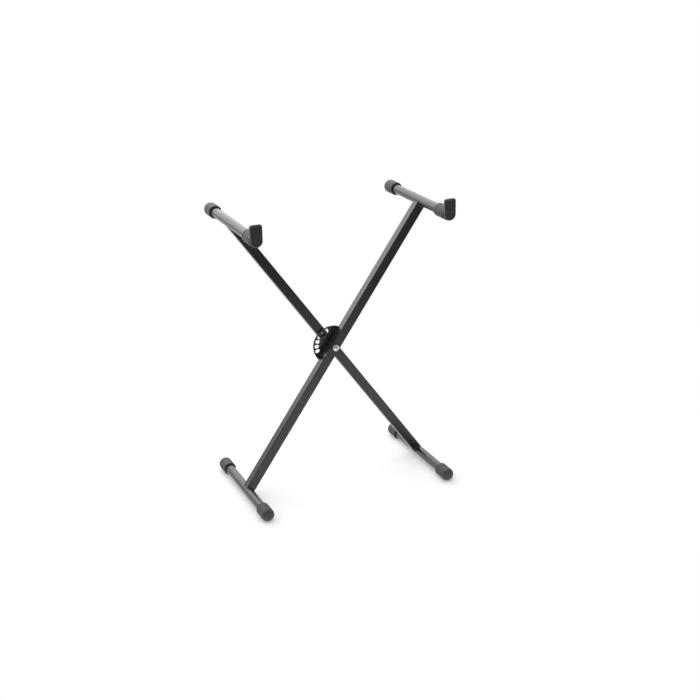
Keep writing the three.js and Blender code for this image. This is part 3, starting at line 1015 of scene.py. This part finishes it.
def pivot_bolt():
    """A socket bolt with a low dome. Its rows run from the bottom of the hexagon socket over the dome,
    which is part of a ball R - sqrt(R^2 - r^2) deep, round its rim, and along the shank and thread."""
    back = corners("pivot_bolt")[1][1]
    head_back = corners("head_washer")[0][1] - GAP
    apex = head_back - 4.4 * MM
    rim, crown = node_radius("pivot_bolt"), 3.2 * MM
    ball = (rim**2 + crown**2) / (2 * crown)
    rows = Rows(even_turn(96))

    def on_dome(radii):
        return apex + ball - np.sqrt(ball**2 - radii**2)

    socket = hexagon(rows.turn, 5 * MM)
    socket_floor = apex + 2.4 * MM
    for share, cone in ((0, 0.7 * MM), (0.5, 0.35 * MM), (1, 0)):
        rows.add(socket * share, socket_floor + cone)
    chamfer = 0.25 * MM
    rows.add(socket, on_dome(socket) + 2 * chamfer)
    rows.add(socket, on_dome(socket) + chamfer)
    front_edge, back_edge = 0.5 * MM, 0.2 * MM
    lean = math.asin((rim - back_edge) / ball)
    dome_edge = rim - front_edge * (1 - math.sin(lean))
    for share in np.linspace(0, 1, 15):
        radii = (socket + chamfer) * (1 - share) + dome_edge * share
        rows.add(radii, on_dome(radii))
    for bend in np.linspace(lean, math.pi / 2, 6)[1:]:
        depth = on_dome(dome_edge) + front_edge * (math.cos(lean) - math.cos(bend))
        rows.add(rim - front_edge * (1 - math.sin(bend)), depth)
    for bend in quarter_turn(4):
        rows.add(rim - back_edge * (1 - math.cos(bend)), head_back - back_edge * (1 - math.sin(bend)))
    shank, neck_edge = 4 * MM, 0.3 * MM
    rows.add(shank + neck_edge, head_back)
    rows.add(shank, head_back + neck_edge)
    thread_start, point = back - 16 * MM, 0.8 * MM
    for along in np.linspace(thread_start, back - point, 116):
        rows.add(shank - thread_depth(rows.turn, along, thread_start, back), along)
    for cone in (point / 2, point):
        along = back - point + cone
        threaded = shank - thread_depth(rows.turn, along, thread_start, back + 1 * MM)
        rows.add(np.minimum(threaded, shank - cone), along)
    rows.add(0, back)
    return rows.patch(PIVOT)


def pivot_nut():
    """A lock nut: a hexagon whose corners are cut by a cone at both faces, with a round collar that
    is crimped over its nylon ring. The rows run round the section from the front of the bore."""
    low, high = corners("pivot_nut")
    across = 13 * MM
    collar, crimp, pocket = 5.8 * MM, 0.9 * MM, 4.8 * MM
    hex_back = high[1] - 1.8 * MM
    rows = Rows(even_turn(120))
    steps = np.linspace(0, 0.9 * MM, 8)

    def add_hexagon(step, height):
        cone = 0.475 * across + step / math.tan(math.radians(30))
        rows.add(np.minimum(hexagon(rows.turn, across), cone), height)

    bore_edge = 0.6 * MM
    rows.add(BOLT_HOLE, low[1] + bore_edge)
    rows.add(BOLT_HOLE + bore_edge, low[1])
    for step in steps:
        add_hexagon(step, low[1] + step)
    for step in steps[::-1]:
        add_hexagon(step, hex_back - step)
    foot = 0.3 * MM
    rows.add(collar + foot, hex_back)
    rows.add(collar, hex_back + foot)
    for bend in quarter_turn(7):
        rows.add(collar - crimp * (1 - math.cos(bend)), high[1] - crimp * (1 - math.sin(bend)))
    rows.add(pocket, high[1])
    rows.add(pocket, hex_back + 0.05 * MM)
    rows.add(BOLT_HOLE, hex_back)
    return rows.patch(PIVOT, rows_close=True)


def lock_pin():
    """A turned pin: a nose that is part of a ball R - sqrt(R^2 - r^2) deep, a body, a collar that the
    spring pushes, and a stem."""
    low, high = corners("lock_pin")
    front, back = low[1], high[1]
    body, collar, stem = 4.5 * MM, node_radius("lock_pin"), 3 * MM
    collar_front = front + 6.6 * MM
    collar_back = collar_front + 2 * MM
    nose = 2.4 * MM
    ball = (body**2 + nose**2) / (2 * nose)
    nose_radii = np.linspace(0, body - 0.6 * MM, 14)
    dome = np.stack([nose_radii, front + ball - np.sqrt(ball**2 - nose_radii**2)], axis=1)
    section = [
        dome[-1], (body, front + nose), (body, collar_front), (collar, collar_front),
        (collar, collar_back), (stem, collar_back), (stem, back), (0, back),
    ]
    shaft = soften(section, np.array([0, 0.5, 0.2, 0.3, 0.3, 0.3, 0.5, 0]) * MM)
    return turned("lock_pin", np.concatenate([dome, shaft]), 64, rows_close=False)


def pin_housing():
    """A flanged bush, turned round the pin's axis."""
    low, high = corners("pin_housing")
    barrel, flange = HOUSING_HOLE - GAP, node_radius("pin_housing")
    flange_front = high[1] - 3 * MM
    section = [
        (STEM_HOLE, low[1]), (barrel, low[1]), (barrel, flange_front), (flange, flange_front),
        (flange, high[1]), (STEM_HOLE, high[1]),
    ]
    profile = soften(section, np.array([0.3, 0.5, 0.2, 0.4, 0.6, 0.4]) * MM)
    return turned("pin_housing", profile, 80)


def pin_spring():
    """A wire carried along a helix whose pitch falls to one wire at both ends, where it is closed."""
    low, high = corners("pin_spring")
    wire = 0.5 * MM
    radius = node_radius("pin_spring") - wire
    turns, steps = 7, 36
    share = np.linspace(0, 1, turns * steps + 1)
    climb = smooth_step(share, -0.12, 1.12)
    climb = (climb - climb[0]) / (climb[-1] - climb[0])
    height = low[1] + wire + (high[1] - low[1] - 2 * wire) * climb
    turn = share * turns * FULL_TURN
    path = rings(radius, height, turn)
    tangent = unit(np.gradient(path, axis=0))
    side = rings(1, 0, turn)
    rise = np.cross(tangent, side)
    thickness = np.full(len(path), wire)
    thickness[[0, -1]] = 0
    path[0] = path[1]
    path[-1] = path[-2]
    return [grid(carried(path, side, rise, thickness, 10) + axis_point("pin_spring"))]


def pull_knob():
    """A moulded knob: a neck, a fluted grip and a slightly domed end, with a blind hole for the stem.
    The flutes are taken off the radius of the grip."""
    flutes = sizes().knob_flutes
    low, high = corners("pull_knob")
    front, back = low[1], high[1]
    grip, neck, edge = node_radius("pull_knob"), 6 * MM, 3 * MM
    shoulder = front + (back - front) / 3
    stem_end = front + 9.3 * MM
    section = [
        (0, stem_end), (STEM_HOLE, stem_end), (STEM_HOLE, front), (neck, front),
        (neck, shoulder - edge / 2), (grip, shoulder + edge / 4), (grip, back), (0, back),
    ]
    profile = soften(section, np.array([0, 0.3, 0.4, 0.6, 1.4, 1.2, 3, 0]) * MM, 8)
    passed = travelled(profile)
    profile = at_distances(profile, np.union1d(passed, np.arange(0, passed[-1], 0.6 * MM)))
    out, along = profile[:, :1], profile[:, 1:]
    turn = even_turn(flutes * 12)[None, :]
    flute = turn / FULL_TURN * flutes
    wide = smooth_step(out, grip - 2 * MM, grip)
    on_grip = np.sqrt(wide * smooth_step(along, shoulder, back)) * (out > neck)
    cut = 0.8 * MM * groove(flute - np.round(flute), 0.34) * on_grip
    return [grid(rings(out - cut, along, turn) + axis_point("pull_knob"))]


# Operators


class STAND_OT_tubes(bpy.types.Operator):
    """Makes the two square arms and the four round bars"""

    bl_idname = "stand.tubes"
    bl_label = "Tubes"

    def execute(self, context):
        bolt_hole = (BOLT_HOLE, 0, (FRONT, BACK))
        pin_hole = (PIN_HOLE, PIN_ALONG, (FRONT,))
        housing_hole = (HOUSING_HOLE, PIN_ALONG, (BACK,))
        front = arm_tube(FRONT_ARM, [bolt_hole])
        rear = arm_tube(REAR_ARM, [bolt_hole, pin_hole, housing_hole])
        make_piece("front_arm_tube", front, "front_frame", "black_paint", ["front_arm"])
        make_piece("rear_arm_tube", rear, "rear_frame", "black_paint", ["rear_arm"])
        for node, body in BARS.items():
            make_piece(f"{node}_tube", bar_tube(node), body, "black_paint", [node])
        return {"FINISHED"}


class STAND_OT_welds(bpy.types.Operator):
    """Makes the weld beads between arms and bars"""

    bl_idname = "stand.welds"
    bl_label = "Welds"

    def execute(self, context):
        for name, arm in (("front", FRONT_ARM), ("rear", REAR_ARM)):
            for place, length, end in (("lower", arm.lower, -1), ("upper", arm.upper, 1)):
                seam = weld_seam(arm, length, end)
                make_piece(f"{name}_arm_{place}_weld", seam, f"{name}_frame", "black_paint")
        return {"FINISHED"}


class STAND_OT_caps(bpy.types.Operator):
    """Makes the rubber caps on the feet and on the backs of the top bars"""

    bl_idname = "stand.caps"
    bl_label = "Caps"

    def execute(self, context):
        for place, end in CAPS:
            node, bar = f"{place}_cap_{end}", f"{place}_bar"
            outward = FRONT if end == "front" else BACK
            cap, tone = cap_moulding(node, bar, outward, on_floor="foot" in place)
            make_piece(f"{node}_moulding", cap, BARS[bar], "black_rubber", [node], tone)
        return {"FINISHED"}


class STAND_OT_stops(bpy.types.Operator):
    """Makes the two stops with their lips"""

    bl_idname = "stand.stops"
    bl_label = "Stops"

    def execute(self, context):
        for node, bar in (("left_stop", "left_top_bar"), ("right_stop", "right_top_bar")):
            stop, tone = stop_moulding(node, bar)
            make_piece(f"{node}_moulding", stop, f"turning_{node}", "black_rubber", [node], tone)
        return {"FINISHED"}


class STAND_OT_plate(bpy.types.Operator):
    """Makes the locking plate and its welds"""

    bl_idname = "stand.plate"
    bl_label = "Locking plate"

    def execute(self, context):
        low, high = corners("lock_plate")
        outline, holes = plate_loops(FRONT_ARM)
        plate = punched_plate(outline, holes, low[1], high[1], sizes().plate_edge)
        placed = [(FRONT_ARM.place(points), faces) for points, faces in plate]
        make_piece("lock_plate_punching", placed, "front_frame", "black_paint", ["lock_plate"])
        make_piece("lock_plate_welds", plate_stitches(FRONT_ARM), "front_frame", "black_paint")
        return {"FINISHED"}


class STAND_OT_hardware(bpy.types.Operator):
    """Makes the pivot bolt, its washers, sleeves and lock nut"""

    bl_idname = "stand.hardware"
    bl_label = "Pivot hardware"

    def execute(self, context):
        make_piece("pivot_bolt_turned", pivot_bolt(), "front_frame", "zinc", ["pivot_bolt"])
        make_piece("pivot_nut_turned", pivot_nut(), "front_frame", "zinc", ["pivot_nut"])
        for node, body, slot, bore, edge in PIVOT_RINGS:
            make_piece(f"{node}_turned", ring_piece(node, bore, edge), body, slot, [node])
        return {"FINISHED"}


class STAND_OT_locking_pin(bpy.types.Operator):
    """Makes the locking pin, its housing, its spring and its knob"""

    bl_idname = "stand.locking_pin"
    bl_label = "Locking pin"

    def execute(self, context):
        make_piece("lock_pin_turned", lock_pin(), "pull_pin", "zinc", ["lock_pin"])
        make_piece("pull_knob_moulding", pull_knob(), "pull_pin", "black_plastic", ["pull_knob"])
        make_piece("pin_housing_turned", pin_housing(), "rear_frame", "zinc", ["pin_housing"])
        spring = make_piece("pin_spring_wound", pin_spring(), "rear_frame", "zinc", ["pin_spring"])
        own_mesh(spring)
        return {"FINISHED"}


class STAND_OT_stage(bpy.types.Operator):
    """Makes the floor, the light and the camera"""

    bl_idname = "stand.stage"
    bl_label = "Stage"

    def execute(self, context):
        make_floor()
        make_surround()
        make_lamps()
        make_camera()
        context.scene.view_settings.view_transform = "Standard"
        return {"FINISHED"}


# Floor, light and camera


def make_floor():
    """A flat white floor. Near the stand it keeps the shadow, and further out it is plain white to the
    camera and to reflections. To all but the camera it gets darker far in front, away from the lamps."""
    settings = studio()
    reach = 60
    mesh = bpy.data.meshes.new("floor")
    edges = np.array([(-1, -1, 0), (1, -1, 0), (1, 1, 0), (-1, 1, 0)]) * reach
    mesh.from_pydata(edges.tolist(), [], [(0, 1, 2, 3)])
    material = bpy.data.materials.new("white_floor")
    mesh.materials.append(material)
    tree = bare_tree(material)
    place = tree.nodes.new("ShaderNodeTexCoord").outputs["Object"]
    rays = tree.nodes.new("ShaderNodeLightPath").outputs
    away = add_node(tree, "ShaderNodeVectorMath", {0: place}, operation="LENGTH").outputs["Value"]
    forward = add_node(tree, "ShaderNodeSeparateXYZ", {0: place}).outputs["Y"]
    far = spread(tree, away, 0, 1, start=0.5, end=1.4, way="SMOOTHSTEP")
    plain = calculate(tree, "MAXIMUM", far, rays["Is Glossy Ray"])
    lit = spread(tree, forward, settings.front_floor, 1, start=-1.75, end=-0.55, way="SMOOTHSTEP")
    level = calculate(tree, "MAXIMUM", lit, rays["Is Camera Ray"])
    lift = calculate(tree, "MULTIPLY", rays["Is Camera Ray"], settings.floor_lift)
    colour = shade(tree, level, (0, 0, 0), tuple(settings.floor))
    matt = add_node(tree, "ShaderNodeBsdfDiffuse", {"Color": colour}).outputs[0]
    glow = add_node(tree, "ShaderNodeEmission", {"Strength": lift}).outputs[0]
    near = add_node(tree, "ShaderNodeAddShader", {0: matt, 1: glow}).outputs[0]
    white = add_node(tree, "ShaderNodeEmission", {"Strength": level}).outputs[0]
    mixed = add_node(tree, "ShaderNodeMixShader", {0: plain, 1: near, 2: white}).outputs[0]
    show(tree, "ShaderNodeOutputMaterial", mixed)
    floor = bpy.data.objects.new("floor", mesh)
    bpy.context.scene.collection.objects.link(floor)


def make_surround():
    """White walls: plain white to the camera, and darker towards the front for all other rays."""
    settings = studio()
    world = bpy.data.worlds.new("white_studio")
    bpy.context.scene.world = world
    tree = bare_tree(world)
    way = tree.nodes.new("ShaderNodeTexCoord").outputs["Generated"]
    forward = add_node(tree, "ShaderNodeSeparateXYZ", {0: way}).outputs["Y"]
    lit = spread(tree, forward, settings.front_wall, settings.surround, start=-0.7, end=0.3, way="SMOOTHSTEP")
    camera_ray = tree.nodes.new("ShaderNodeLightPath").outputs["Is Camera Ray"]
    level = calculate(tree, "MAXIMUM", lit, camera_ray)
    walls = add_node(tree, "ShaderNodeBackground", {"Color": (1, 1, 1, 1), "Strength": level}).outputs[0]
    show(tree, "ShaderNodeOutputWorld", walls)


def make_lamps():
    """Soft boxes: one above the stand and a wide one behind it."""
    add_soft_box(
        "top_soft_box", studio().top_level, place=(-0.2, 0.1, 2.6), target=(0, 0, 0.3), size=(2.6, 2.2)
    )
    add_soft_box(
        "back_soft_box", studio().back_level, place=(-0.3, 3.2, 2.25), target=(0, 0, 0.5), size=(5.0, 2.6)
    )


def add_soft_box(name, level, place, target, size):
    """A rectangular lamp at a place, turned to a target, as bright as a white of this level."""
    lamp = bpy.data.lights.new(name, "AREA")
    lamp.shape = "RECTANGLE"
    lamp.size, lamp.size_y = size
    lamp.energy = level * math.pi * size[0] * size[1]
    box = bpy.data.objects.new(name, lamp)
    box.location = place
    box.rotation_euler = (Vector(target) - Vector(place)).to_track_quat("-Z", "Y").to_euler()
    box.visible_camera = False
    bpy.context.scene.collection.objects.link(box)


def make_camera():
    """The picture's camera: back along azimuth and elevation from its target, then rolled."""
    settings = studio()
    azimuth, elevation, roll = settings.azimuth, settings.elevation, settings.roll
    level = math.cos(elevation)
    back = Vector((math.sin(azimuth) * level, -math.cos(azimuth) * level, math.sin(elevation)))
    right = Vector((0, 0, 1)).cross(back).normalized()
    up = back.cross(right)
    rolled_right = math.cos(roll) * right + math.sin(roll) * up
    rolled_up = math.cos(roll) * up - math.sin(roll) * right
    camera = bpy.data.cameras.new("camera")
    camera.lens = settings.lens
    camera.sensor_width = 36  # millimetres, as the lens
    holder = bpy.data.objects.new("camera", camera)
    turn = Matrix((rolled_right, rolled_up, back)).transposed().to_4x4()
    holder.matrix_world = Matrix.Translation(Vector(settings.target) + back * settings.distance) @ turn
    bpy.context.scene.collection.objects.link(holder)
    bpy.context.scene.camera = holder


# Panel and add-on


class VIEW3D_PT_keyboard_stand(bpy.types.Panel):
    """Lists the pieces of the stand and their sizes"""

    bl_label = "Keyboard stand"
    bl_idname = "VIEW3D_PT_keyboard_stand"
    bl_space_type = "VIEW_3D"
    bl_region_type = "UI"
    bl_category = "Keyboard stand"

    def draw(self, context):
        column = self.layout.column()
        for operator in OPERATORS:
            column.operator(operator.bl_idname)
        for group in (context.scene.stand_sizes, context.scene.stand_finishes, context.scene.stand_studio):
            for name in group.__annotations__:
                column.prop(group, name)


GROUPS = {"stand_sizes": StandSizes, "stand_finishes": StandFinishes, "stand_studio": StudioSettings}
OPERATORS = (
    STAND_OT_tubes,
    STAND_OT_welds,
    STAND_OT_caps,
    STAND_OT_stops,
    STAND_OT_plate,
    STAND_OT_hardware,
    STAND_OT_locking_pin,
    STAND_OT_stage,
)
CLASSES = (*GROUPS.values(), *OPERATORS, VIEW3D_PT_keyboard_stand)


def register():
    for item in CLASSES:
        bpy.utils.register_class(item)
    for name, group in GROUPS.items():
        setattr(bpy.types.Scene, name, bpy.props.PointerProperty(type=group))


def unregister():
    for name in GROUPS:
        delattr(bpy.types.Scene, name)
    for item in reversed(CLASSES):
        bpy.utils.unregister_class(item)


def main():
    register()
    bpy.ops.stand.tubes()
    bpy.ops.stand.welds()
    bpy.ops.stand.caps()
    bpy.ops.stand.stops()
    bpy.ops.stand.plate()
    bpy.ops.stand.hardware()
    bpy.ops.stand.locking_pin()
    bpy.ops.stand.stage()


if __name__ == "__main__":
    main()
